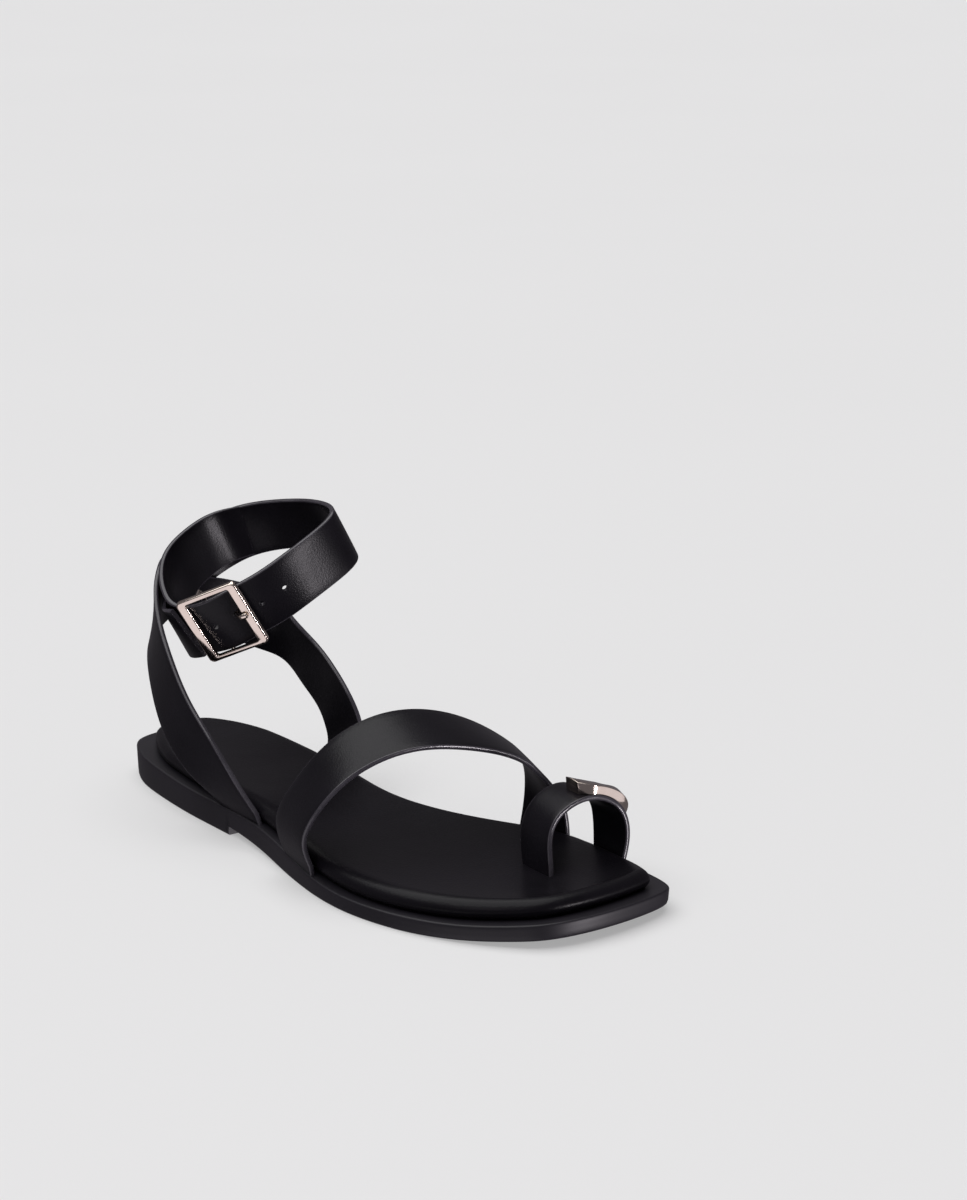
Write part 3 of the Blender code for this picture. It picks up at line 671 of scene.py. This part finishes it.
class Nodes:
    """Short way to wire a material's nodes."""

    def __init__(self, name):
        self.material = bpy.data.materials.new(name)
        self.material.use_nodes = True
        self.tree = self.material.node_tree
        self.shader = self.tree.nodes["Principled BSDF"]

    def add(self, kind, **inputs):
        node = self.tree.nodes.new(kind)
        for key, value in inputs.items():
            node.inputs[key.replace("_", " ")].default_value = value
        return node

    def link(self, source, target):
        self.tree.links.new(source, target)

    def place(self):
        return self.add("ShaderNodeTexCoord").outputs["Object"]

    def noise(self, place, scale, detail, roughness):
        node = self.add("ShaderNodeTexNoise", Scale=scale, Detail=detail, Roughness=roughness)
        self.link(place, node.inputs["Vector"])
        return node.outputs["Fac"]

    def ramp(self, source, low, high, low_colour, high_colour):
        """Colour that goes from one to the other while the source goes from low to high."""
        node = self.add("ShaderNodeValToRGB")
        first, last = node.color_ramp.elements
        first.position = low
        last.position = high
        first.color = low_colour
        last.color = high_colour
        self.link(source, node.inputs["Fac"])
        return node.outputs["Color"]

    def span(self, source, low, high):
        """The source, from 0 to 1, stretched from low to high."""
        node = self.add("ShaderNodeMapRange", To_Min=low, To_Max=high)
        self.link(source, node.inputs["Value"])
        return node.outputs["Result"]

    def bump(self, source, distance, strength, base=None):
        """Bump on top of the base normal, if one is given."""
        node = self.add("ShaderNodeBump", Strength=strength, Distance=distance)
        self.link(source, node.inputs["Height"])
        if base is not None:
            self.link(base, node.inputs["Normal"])
        return node.outputs["Normal"]

    def finish(self, colour, roughness, normal, **fixed):
        self.link(colour, self.shader.inputs["Base Color"])
        self.link(roughness, self.shader.inputs["Roughness"])
        self.link(normal, self.shader.inputs["Normal"])
        for key, value in fixed.items():
            self.shader.inputs[key.replace("_", " ")].default_value = value
        return self.material


def shade(red, green, blue):
    return (red, green, blue, 1.0)


def leather(name, dark, light, rough, grain, depth, level):
    """Smooth finished hide: pebbled fine grain, pores, a slight pull, and uneven gloss."""
    nodes = Nodes(name)
    place = nodes.place()
    cells = nodes.add("ShaderNodeTexVoronoi", Scale=grain)
    nodes.link(place, cells.inputs["Vector"])
    pull = nodes.noise(place, scale=60.0, detail=2.0, roughness=0.5)
    pores = nodes.noise(place, scale=grain * 1.9, detail=2.0, roughness=0.6)
    cloud = nodes.noise(place, scale=38.0, detail=4.0, roughness=0.55)
    colour = nodes.ramp(cloud, 0.32, 0.70, dark, light)
    roughness = nodes.span(cloud, rough - 0.05, rough + 0.06)
    normal = nodes.bump(pull, distance=0.00035, strength=0.35)
    normal = nodes.bump(cells.outputs["Distance"], distance=depth, strength=0.55, base=normal)
    normal = nodes.bump(pores, distance=depth * 0.5, strength=0.4, base=normal)
    return nodes.finish(colour, roughness, normal, Specular_IOR_Level=level)


def edge_paint(name):
    """Painted cut edge of a strap: a little lighter and smoother than the hide, slightly uneven."""
    nodes = Nodes(name)
    place = nodes.place()
    wave = nodes.noise(place, scale=420.0, detail=2.0, roughness=0.5)
    cloud = nodes.noise(place, scale=90.0, detail=3.0, roughness=0.5)
    colour = nodes.ramp(cloud, 0.3, 0.7, shade(0.028, 0.025, 0.032), shade(0.050, 0.046, 0.056))
    roughness = nodes.span(cloud, 0.17, 0.27)
    normal = nodes.bump(wave, distance=0.00010, strength=0.5)
    return nodes.finish(colour, roughness, normal, Specular_IOR_Level=0.5)


def rubber(name):
    """Moulded sole rubber with a satin skin and a very fine tooth."""
    nodes = Nodes(name)
    place = nodes.place()
    tooth = nodes.noise(place, scale=2600.0, detail=2.0, roughness=0.7)
    flow = nodes.noise(place, scale=30.0, detail=3.0, roughness=0.5)
    colour = nodes.ramp(flow, 0.3, 0.72, shade(0.0085, 0.0074, 0.0104), shade(0.0130, 0.0113, 0.0156))
    roughness = nodes.span(flow, 0.38, 0.48)
    normal = nodes.bump(flow, distance=0.0006, strength=0.2)
    normal = nodes.bump(tooth, distance=0.00003, strength=0.5, base=normal)
    return nodes.finish(colour, roughness, normal, Specular_IOR_Level=0.32)


def polished(name, dark, light, rough):
    """Polished plated metal with faint drawn scratches and small handling marks."""
    nodes = Nodes(name)
    place = nodes.place()
    stretch = nodes.add("ShaderNodeMapping", Scale=(1.0, 9.0, 1.0))
    nodes.link(place, stretch.inputs["Vector"])
    scratch = nodes.noise(stretch.outputs["Vector"], scale=900.0, detail=3.0, roughness=0.7)
    cloud = nodes.noise(place, scale=140.0, detail=3.0, roughness=0.5)
    colour = nodes.ramp(cloud, 0.3, 0.7, dark, light)
    roughness = nodes.span(scratch, rough - 0.03, rough + 0.06)
    normal = nodes.bump(scratch, distance=0.000012, strength=0.5)
    return nodes.finish(colour, roughness, normal, Metallic=1.0)


def paper(name):
    """Matt pale paper that glows a little, so that it stays evenly bright."""
    nodes = Nodes(name)
    place = nodes.place()
    cloud = nodes.noise(place, scale=1.5, detail=2.0, roughness=0.5)
    tooth = nodes.noise(place, scale=700.0, detail=2.0, roughness=0.5)
    colour = nodes.ramp(cloud, 0.2, 0.8, shade(0.445, 0.445, 0.445), shade(0.455, 0.455, 0.455))
    roughness = nodes.span(cloud, 0.85, 0.95)
    normal = nodes.bump(tooth, distance=0.00005, strength=0.1)
    return nodes.finish(colour, roughness, normal, Specular_IOR_Level=0.1,
                        Emission_Color=shade(1.0, 1.0, 1.0), Emission_Strength=0.35)


STRAP_LEATHER = leather("strap_leather", dark=shade(0.0045, 0.0039, 0.0056),
                        light=shade(0.0074, 0.0065, 0.0092),
                        rough=0.29, grain=1500.0, depth=0.00005, level=0.17)
STRAP_EDGE = edge_paint("strap_edge")
FOOTBED_LEATHER = leather("footbed_leather", dark=shade(0.0034, 0.0029, 0.0043),
                          light=shade(0.0060, 0.0051, 0.0074),
                          rough=0.33, grain=1250.0, depth=0.00006, level=0.14)
SOLE_RUBBER = rubber("sole_rubber")
METAL = polished("plated_metal", dark=shade(0.71, 0.62, 0.54), light=shade(0.77, 0.68, 0.60), rough=0.10)


# Sole

def sole_loop(inset, share, rise):
    """Outline loop at a share of the way from the underside to the ledge, and a rise above that."""
    loop = []
    for (x, y), behind in zip(inset_loop(inset), LOOP_BEHIND):
        low = floor_height(x, behind)
        high = ledge_height(x)
        loop.append((x, y, low + (high - low) * share + rise))
    return loop


def make_outsole():
    """Outsole with rounded edges, a flat ledge, a heel block and a breast."""
    fill = slab_fill([sole_loop(*row) for row in SOLE_RINGS])
    return dress(write_mesh("outsole_moulded", fill, [SOLE_RUBBER], SOLE_SHARP), "outsole")


def footbed_loop(inset, rise):
    """Outline loop of the footbed, inset from it and at a height above the ledge."""
    widths = [ledge_width(point) + inset for point in LOOP_POINTS]
    return [(x, y, ledge_height(x) + rise) for x, y in inset_loop(widths)]


def dish_loop(crease, share):
    """Loop of the dished top, at a share of the way from its crease to its middle line."""
    loop = []
    for i, point in enumerate(crease):
        mate = crease[-i]
        fade = min(1.0, float(np.linalg.norm(point - mate)) / DISH_FULL_WIDTH)
        x, y, z = point * (1 - share) + (point + mate) / 2 * share
        loop.append((x, y, z - FOOTBED_DISH * math.sin(share * math.pi / 2) * fade))
    return loop


def make_footbed():
    """Padded insole: a rounded side that pulls in at its foot, and a softly dished top."""
    loops = [footbed_loop(inset, rise) for inset, rise in FOOTBED_UNDERSIDE]
    side = Spline(range(len(FOOTBED_SIDE)), FOOTBED_SIDE)
    for k in range(FOOTBED_SIDE_STEPS + 1):
        inset, rise = side((len(FOOTBED_SIDE) - 1) * k / FOOTBED_SIDE_STEPS)
        loops.append(footbed_loop(float(inset), GAP + max(0.0, float(rise))))
    crease = np.array(loops[-1])
    loops += [dish_loop(crease, share) for share in DISH_SHARES]
    piece = write_mesh("footbed_padded", slab_fill(loops), [FOOTBED_LEATHER], FOOTBED_SHARP)
    dress(piece, "footbed")
    return piece


# Straps

def band_section(width, thick):
    """Section points of a strap: across, outwards, and the material slot of the face that follows."""
    half = width / 2
    deep = thick / 2
    points = []
    for turn in EDGE_TURNS:
        across, up = math.cos(math.radians(turn)), math.sin(math.radians(turn))
        points.append((half - EDGE_ROUND + EDGE_ROUND * across,
                       (deep - EDGE_ROUND) * np.sign(up) + EDGE_ROUND * up, 1))
    points[-1] = (*points[-1][:2], 0)
    points += [(half * share, -deep - CROWN * (1 - share * share), 0) for share in CROWN_SHARES]
    return points + [(-across, -up, slot) for across, up, slot in points]


def band_loops(rows, width, skive):
    """Sections of a strap that follows path rows.

    The last sections, as many as skive says, thin out towards the ankle ring's outer layer."""
    spots, across, outward = band_frames(path_stations(rows))
    loops = []
    for i, (spot, wide, out) in enumerate(zip(spots, across, outward)):
        stretch = np.linalg.norm(wide)
        left = len(spots) - 1 - i
        thin = 1.0 if left >= skive else SKIVE_END + (1.0 - SKIVE_END) * left / skive
        away = 1.0 if out @ (spot - RING_CENTRE) > 0 else -1.0
        shift = away * STRAP_THICK / 2 * (1.0 - thin)
        loops.append([spot + wide / stretch * side + out * (up * thin + shift)
                      for side, up, _ in band_section(width * stretch, STRAP_THICK)])
    return loops


def make_strap(name, rows, width, foot, node, skive=0):
    """Strap with crowned faces and rounded, painted edges; foot moves the points of its two ends."""
    loops = band_loops(rows, width, skive)
    for end in (0, -1):
        loops[end] = [foot(point) for point in loops[end]]
    slots = [slot for _, _, slot in band_section(width, STRAP_THICK)]
    fill = tube_fill(loops, slots, end_slot=1)
    return dress(write_mesh(name, fill, [STRAP_LEATHER, STRAP_EDGE], STRAP_SHARP), node)


def hole_loops(centre, across, along, out, wide, long):
    """Two rings of an oval cutter that goes right through a strap."""
    return [[centre + across * (wide * math.cos(turn)) + along * (long * math.sin(turn)) + out * reach
             for turn in turns(HOLE_SIDES)] for reach in (-PUNCH_REACH, PUNCH_REACH)]


def punch(strap, holes):
    """Cut holes, each given as hole_loops wants it, and paint their walls like the strap's edges."""
    cutters = []
    for hole in holes:
        cutter = write_mesh("punch", tube_fill(hole_loops(*hole)), [STRAP_EDGE], STRAP_SHARP)
        cutters.append(cutter)
        cut = strap.modifiers.new("punch", "BOOLEAN")
        cut.operation = "DIFFERENCE"
        cut.solver = "EXACT"
        cut.object = cutter
    baked(strap)
    for cutter in cutters:
        bpy.data.objects.remove(cutter)
    strap.data.set_sharp_from_angle(angle=math.radians(STRAP_SHARP))


def make_wrap_strap():
    """Wrap strap, with the prong's hole and the spare holes punched through it."""
    rows = on_ledge(WRAP_LEG) + ring_rows(WRAP_RING)
    strap = make_strap("wrap_strap_leather", rows, ANKLE_WIDTH, sunk_foot, "wrap_strap", SKIVE_STATIONS)
    place, along, across, outward = buckle_axes()
    prong_spot = place + along * HOLE_PLACE
    holes = [(prong_spot, across, along, outward, PRONG_HOLE_WIDE, PRONG_HOLE_LONG)]
    spots, wides, outs = band_frames(path_stations(rows, HOLE_STEP))
    start = int(np.argmin(np.linalg.norm(spots - prong_spot, axis=1)))
    reach = running_length(spots)
    for k in SPARE_HOLES:
        i = int(np.argmin(np.abs(reach - reach[start] - k * HOLE_PITCH)))
        wide = wides[i] / np.linalg.norm(wides[i])
        holes.append((spots[i], wide, np.cross(outs[i], wide), outs[i], SPARE_RADIUS, SPARE_RADIUS))
    punch(strap, holes)
    return strap


# Toe ornament

def soften(piece):
    """Small rounded bevels on the crisp edges."""
    bevel = piece.modifiers.new("soften", "BEVEL")
    bevel.width = ORNAMENT_BEVEL * MM
    bevel.segments = 3
    bevel.limit_method = "ANGLE"
    bevel.angle_limit = math.radians(FACET_ANGLE)
    bevel.harden_normals = False
    baked(piece)
    piece.data.shade_smooth()
    piece.data.set_sharp_from_angle(angle=math.radians(BEVEL_SHARP))


def make_ornament():
    """Saddle of polished metal on the toe loop, with crisp facets."""
    spots, across, outward = band_frames(path_stations(loop_rows(), ORNAMENT_STEP))
    shape = smooth_table(ORNAMENT_ROWS)
    first, last = ORNAMENT_ROWS[0][0], ORNAMENT_ROWS[-1][0]
    base = STRAP_THICK / 2 + CROWN
    loops = []
    for k in range(ORNAMENT_SECTIONS + 1):
        place = first + (last - first) * k / ORNAMENT_SECTIONS
        rear, front, ridge, lip, face = shape(place)
        i, share = divmod(place * (len(spots) - 1), 1.0)
        spot, rearward, out = ((1 - share) * rows[int(i)] + share * rows[int(i) + 1]
                               for rows in (spots, across, -outward))
        front_side = -rearward * front
        rear_side = -rearward * rear
        loops.append([
            spot + rear_side + out * base,
            spot + front_side + out * base,
            spot + front_side + out * (base + face),
            spot + (front_side + rear_side) * 0.5 + out * (base + ridge),
            spot + rear_side + out * (base + lip),
        ])
    piece = write_mesh("toe_ornament_polished", tube_fill(loops), [METAL], FACET_ANGLE)
    soften(piece)
    return dress(piece, "toe_ornament")


# Buckle

def corner_points(long, wide, corner):
    """Outline of a rectangle with rounded corners."""
    points = []
    for side, end, start in ((1, 1, 0), (-1, 1, 90), (-1, -1, 180), (1, -1, 270)):
        for k in range(CORNER_STEPS + 1):
            turn = math.radians(start + 90.0 * k / CORNER_STEPS)
            points.append((side * (long / 2 - corner) + corner * math.cos(turn),
                           end * (wide / 2 - corner) + corner * math.sin(turn)))
    return np.array(points)


def make_buckle():
    """Buckle frame with a softly crowned face, and its pivot bar under the strap."""
    place, along, across, outward = buckle_axes()

    def world(x, y, z):
        return place + along * x + across * y + outward * z

    outer = corner_points(BUCKLE_LONG, BUCKLE_WIDE, OUTER_CORNER)
    inner = corner_points(BUCKLE_LONG - 2 * SIDE_BAR, BUCKLE_WIDE - 2 * END_BAR, INNER_CORNER)
    loops = []
    for share, rise in FRAME_SECTION:
        level = BUCKLE_LIFT + BUCKLE_THICK * rise
        loops.append([world(x, y, level) for x, y in inner * (1 - share) + outer * share])

    end = BUCKLE_WIDE / 2 - PIVOT_INSET
    route = [(end, BUCKLE_LIFT)] + [(end - inset, PIVOT_LEVEL + rise) for inset, rise in PIVOT_BEND]
    route += [(-y, z) for y, z in reversed(route)]
    points = [world(PIVOT_PLACE, y, z) for y, z in route]
    bar = swept_loops(points, along, [(PIVOT_RADIUS, PIVOT_RADIUS)] * len(points), PIVOT_SIDES)

    def fill(build):
        add_loops(build, loops + loops[:1])
        tube_fill(bar)(build)

    piece = write_mesh("buckle_frame_polished", fill, [METAL], FRAME_SHARP)
    return dress(piece, "buckle_frame")


def make_prong():
    """Prong from the pivot bar, up through its hole and over the far side bar, with a rounded tip."""
    place, along, across, outward = buckle_axes()
    flat = [(PRONG_PLACES[key][0] + x, PRONG_PLACES[key][1] + z) for key, x, z in PRONG_ROUTE]
    route = Spline(range(len(flat)), flat)
    points = []
    sizes = []
    for k in range(PRONG_STEPS + 1):
        x, z = route((len(flat) - 1) * k / PRONG_STEPS)
        points.append(place + along * x + outward * z)
        radius = PRONG_THICK / 2 * PRONG_TIP[min(PRONG_STEPS - k, len(PRONG_TIP) - 1)]
        sizes.append((PRONG_WIDE * radius, PRONG_DEEP * radius))
    fill = tube_fill(swept_loops(points, across, sizes, PRONG_SIDES))
    return dress(write_mesh("buckle_prong_polished", fill, [METAL], PRONG_SHARP), "buckle_prong")


# Studio, in metres

FLOOR_SIDES = 48
FLOOR_SHARP = 32.0
FLOOR_ROWS = (            # radius, height
    (1.0, 0.0), (2.2, 0.0), (3.2, 0.01), (4.6, 0.06), (6.6, 0.16), (12.0, 0.7), (45.0, 8.0),
)

# Soft panels. Columns: name, point that it faces, azimuth and elevation in degrees, distance, size,
# radiance.
PANELS = (
    ("ring_strip", (-0.033, 0.0, 0.095), 20.0, -19.0, 1.2, (0.075, 0.6), 48.0),
    ("front_soft", (0.09, -0.02, 0.02), -72.0, 30.0, 1.8, (0.8, 0.5), 1.3),
    ("toe_fill", (0.093, 0.033, 0.034), 43.0, -19.0, 0.5, (0.34, 0.2), 0.7),
    ("low_fill", (-0.048, -0.025, 0.074), -65.0, -48.0, 1.0, (0.9, 0.9), 0.8),
)
PANEL_COLOUR = (1.0, 0.94, 1.0)
WORLD_COLOUR = (0.86, 0.80, 0.88, 1.0)
WORLD_STRENGTH = 0.15
SKY_ENERGY = 2.55
SKY_ANGLE = math.radians(75.0)
SKY_TILT = (math.radians(8.0), math.radians(-10.0), 0.0)

CAMERA_PLACE = Vector((0.69839, -0.50291, 0.28744))
CAMERA_TARGET = Vector((-0.26728, 0.27059, 0.0))
CAMERA_LENS = 76.1
CAMERA_SENSOR = 36.0
CAMERA_NEAR = 0.01
CAMERA_FAR = 60.0


def make_floor():
    """Wide paper floor that rises gently far from the sandal, so that no horizon shows.

    It isn't seen in reflections and casts no shadow, so that panels below it light the sandal."""
    def fill(build):
        centre = build.verts.new((0.0, 0.0, 0.0))
        rings = [[build.verts.new((radius * math.cos(turn), radius * math.sin(turn), height))
                  for turn in turns(FLOOR_SIDES)] for radius, height in FLOOR_ROWS]
        for k in range(FLOOR_SIDES):
            after = (k + 1) % FLOOR_SIDES
            build.faces.new((centre, rings[0][k], rings[0][after]))
            for inner, outer in zip(rings, rings[1:]):
                build.faces.new((inner[k], outer[k], outer[after], inner[after]))

    floor = write_mesh("studio_floor", fill, [paper("paper_floor")], FLOOR_SHARP)
    floor.visible_glossy = False
    floor.visible_shadow = False


def add_panel(name, target, azimuth, elevation, distance, size, radiance):
    """A soft panel that faces the target from a direction in degrees; it isn't seen by the camera."""
    turn = math.radians(azimuth)
    rise = math.radians(elevation)
    away = Vector((math.cos(rise) * math.cos(turn), math.cos(rise) * math.sin(turn), math.sin(rise)))
    light = bpy.data.lights.new(name, "AREA")
    light.shape = "RECTANGLE"
    light.size, light.size_y = size
    light.energy = radiance * math.pi * size[0] * size[1]
    light.color = PANEL_COLOUR
    lamp = bpy.data.objects.new(name, light)
    lamp.location = Vector(target) + away * distance
    lamp.rotation_euler = away.to_track_quat("Z", "Y").to_euler()
    lamp.visible_camera = False
    bpy.context.collection.objects.link(lamp)


def light_studio():
    """Dim world, a wide soft light from above, and the panels."""
    world = bpy.data.worlds.new("studio")
    world.use_nodes = True
    back = world.node_tree.nodes["Background"]
    back.inputs["Color"].default_value = WORLD_COLOUR
    back.inputs["Strength"].default_value = WORLD_STRENGTH
    bpy.context.scene.world = world
    sun = bpy.data.lights.new("sky_panel", "SUN")
    sun.energy = SKY_ENERGY
    sun.angle = SKY_ANGLE
    lamp = bpy.data.objects.new("sky_panel", sun)
    lamp.rotation_euler = SKY_TILT
    bpy.context.collection.objects.link(lamp)
    for panel in PANELS:
        add_panel(*panel)


def make_camera():
    """Camera at the photograph's viewpoint."""
    camera = bpy.data.cameras.new("photo_view")
    camera.lens = CAMERA_LENS
    camera.sensor_width = CAMERA_SENSOR
    camera.clip_start = CAMERA_NEAR
    camera.clip_end = CAMERA_FAR
    eye = bpy.data.objects.new("photo_view", camera)
    eye.location = CAMERA_PLACE
    eye.rotation_euler = (CAMERA_TARGET - CAMERA_PLACE).to_track_quat("-Z", "Y").to_euler()
    bpy.context.collection.objects.link(eye)
    bpy.context.scene.camera = eye


make_camera()
make_outsole()
make_footbed()
make_wrap_strap()
make_strap("buckle_strap_leather", on_ledge(BUCKLE_LEG) + ring_rows(BUCKLE_RING),
           ANKLE_WIDTH, sunk_foot, "buckle_strap")
make_strap("instep_strap_leather", on_ledge(INSTEP_PATH), INSTEP_WIDTH, sunk_foot, "instep_strap")
make_strap("toe_loop_leather", loop_rows(), LOOP_WIDTH, sunk_loop_foot, "toe_loop")
make_ornament()
make_buckle()
make_prong()
make_floor()
light_studio()
bpy.context.scene.view_settings.view_transform = "Standard"
